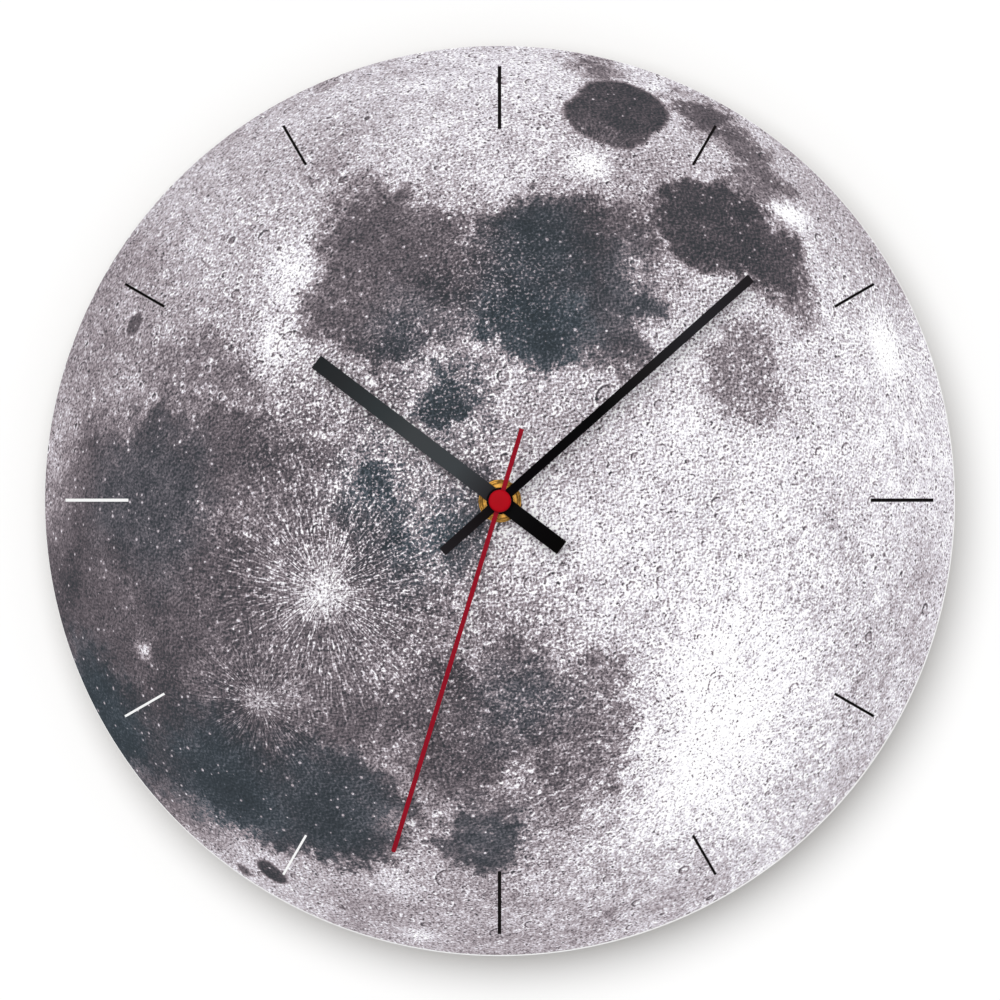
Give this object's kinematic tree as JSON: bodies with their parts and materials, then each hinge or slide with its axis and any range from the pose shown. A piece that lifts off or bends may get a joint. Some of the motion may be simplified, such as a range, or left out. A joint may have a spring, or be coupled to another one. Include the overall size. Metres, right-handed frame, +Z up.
{
  "type": "wall clock",
  "caption": "Round wall clock: thin disc printed with the face of the Moon, straight black hands, red second hand, quartz movement with a hanger loop behind.",
  "frame": {"origin": "on the axis of the hands, on the flat back face of the movement, which lies against the wall", "axes": "+Z up towards twelve o'clock, +X towards three o'clock, the dial faces -Y and the wall is on the +Y side"},
  "size_m": [0.3, 0.0312, 0.3],
  "materials": {
    "dial_board": "fibreboard, white lacquered edge",
    "printed_film": "satin printed film",
    "black_rubber": "matte",
    "brass": "turned",
    "black_plastic": "moulded",
    "white_plastic": "moulded",
    "steel": "nickel plated",
    "copper": "enamelled wire",
    "circuit_board": "solder mask",
    "chip_resin": "epoxy",
    "battery_jacket": "gloss sleeve",
    "hand_black": "satin",
    "hand_red": "satin",
    "cap_red": "satin",
    "magnet": "sintered"
  },
  "bodies": {
    "clock": {"dial_disc": "dial_board", "printed_face": "printed_film", "rubber_gasket": "black_rubber", "brass_washer": "brass", "hex_nut": "brass", "threaded_bush": "brass", "movement_case": "black_plastic", "rear_cover": "black_plastic", "train_bridge": "white_plastic", "intermediate_pin": "steel", "stator": "steel", "coil_core": "steel", "coil_bobbin": "white_plastic", "coil_winding": "copper", "circuit_board": "circuit_board", "clock_chip": "chip_resin", "quartz_crystal": "steel", "aa_battery": "battery_jacket", "positive_contact": "steel", "negative_contact": "steel"},
    "second_hand": {"second_hand": "hand_red", "second_hand_tube": "brass", "second_hand_cap": "cap_red", "second_arbor": "steel", "second_wheel": "white_plastic"},
    "minute_hand": {"minute_hand": "hand_black", "cannon_pinion": "brass"},
    "hour_hand": {"hour_hand": "hand_black", "hour_wheel": "white_plastic"},
    "rotor": {"rotor_pinion": "white_plastic", "rotor_magnet": "magnet"},
    "intermediate_wheel": {"intermediate_wheel": "white_plastic"},
    "third_wheel": {"third_wheel": "white_plastic"},
    "centre_wheel": {"centre_wheel": "white_plastic"},
    "minute_wheel": {"minute_wheel": "white_plastic"},
    "setting_knob": {"setting_knob": "black_plastic"}
  },
  "joints": [
    {"name": "second_hand_turn", "type": "hinge", "parent": "clock", "child": "second_hand", "pos_m": [0, 0, 0], "axis": [0, 1, 0], "continuous": true},
    {"name": "minute_hand_turn", "type": "hinge", "parent": "clock", "child": "minute_hand", "pos_m": [0, 0, 0], "axis": [0, 1, 0], "continuous": true},
    {"name": "hour_hand_turn", "type": "hinge", "parent": "clock", "child": "hour_hand", "pos_m": [0, 0, 0], "axis": [0, 1, 0], "continuous": true},
    {"name": "minute_wheel_turn", "type": "hinge", "parent": "clock", "child": "minute_wheel", "pos_m": [0.00945, 0, 0.00167], "axis": [0, 1, 0], "continuous": true},
    {"name": "setting_knob_turn", "type": "hinge", "parent": "clock", "child": "setting_knob", "pos_m": [0.01902, 0, 0.0025], "axis": [0, 1, 0], "continuous": true},
    {"name": "rotor_turn", "type": "hinge", "parent": "clock", "child": "rotor", "pos_m": [0.00125, 0, 0.01393], "axis": [0, 1, 0], "continuous": true},
    {"name": "intermediate_wheel_turn", "type": "hinge", "parent": "clock", "child": "intermediate_wheel", "pos_m": [0.00186, 0, 0.00695], "axis": [0, 1, 0], "continuous": true},
    {"name": "third_wheel_turn", "type": "hinge", "parent": "clock", "child": "third_wheel", "pos_m": [-0.01015, 0, 0.00369], "axis": [0, 1, 0], "continuous": true},
    {"name": "centre_wheel_turn", "type": "hinge", "parent": "clock", "child": "centre_wheel", "pos_m": [0, 0, 0], "axis": [0, 1, 0], "continuous": true}
  ],
  "couplings": [
    {"joint": "hour_hand_turn", "follows": "minute_hand_turn", "ratio": 0.083333},
    {"joint": "minute_wheel_turn", "follows": "minute_hand_turn", "ratio": -0.33333},
    {"joint": "setting_knob_turn", "follows": "minute_hand_turn", "ratio": 1},
    {"joint": "intermediate_wheel_turn", "follows": "second_hand_turn", "ratio": -5},
    {"joint": "rotor_turn", "follows": "second_hand_turn", "ratio": 30},
    {"joint": "third_wheel_turn", "follows": "second_hand_turn", "ratio": -0.13333},
    {"joint": "centre_wheel_turn", "follows": "second_hand_turn", "ratio": 0.016667}
  ]
}
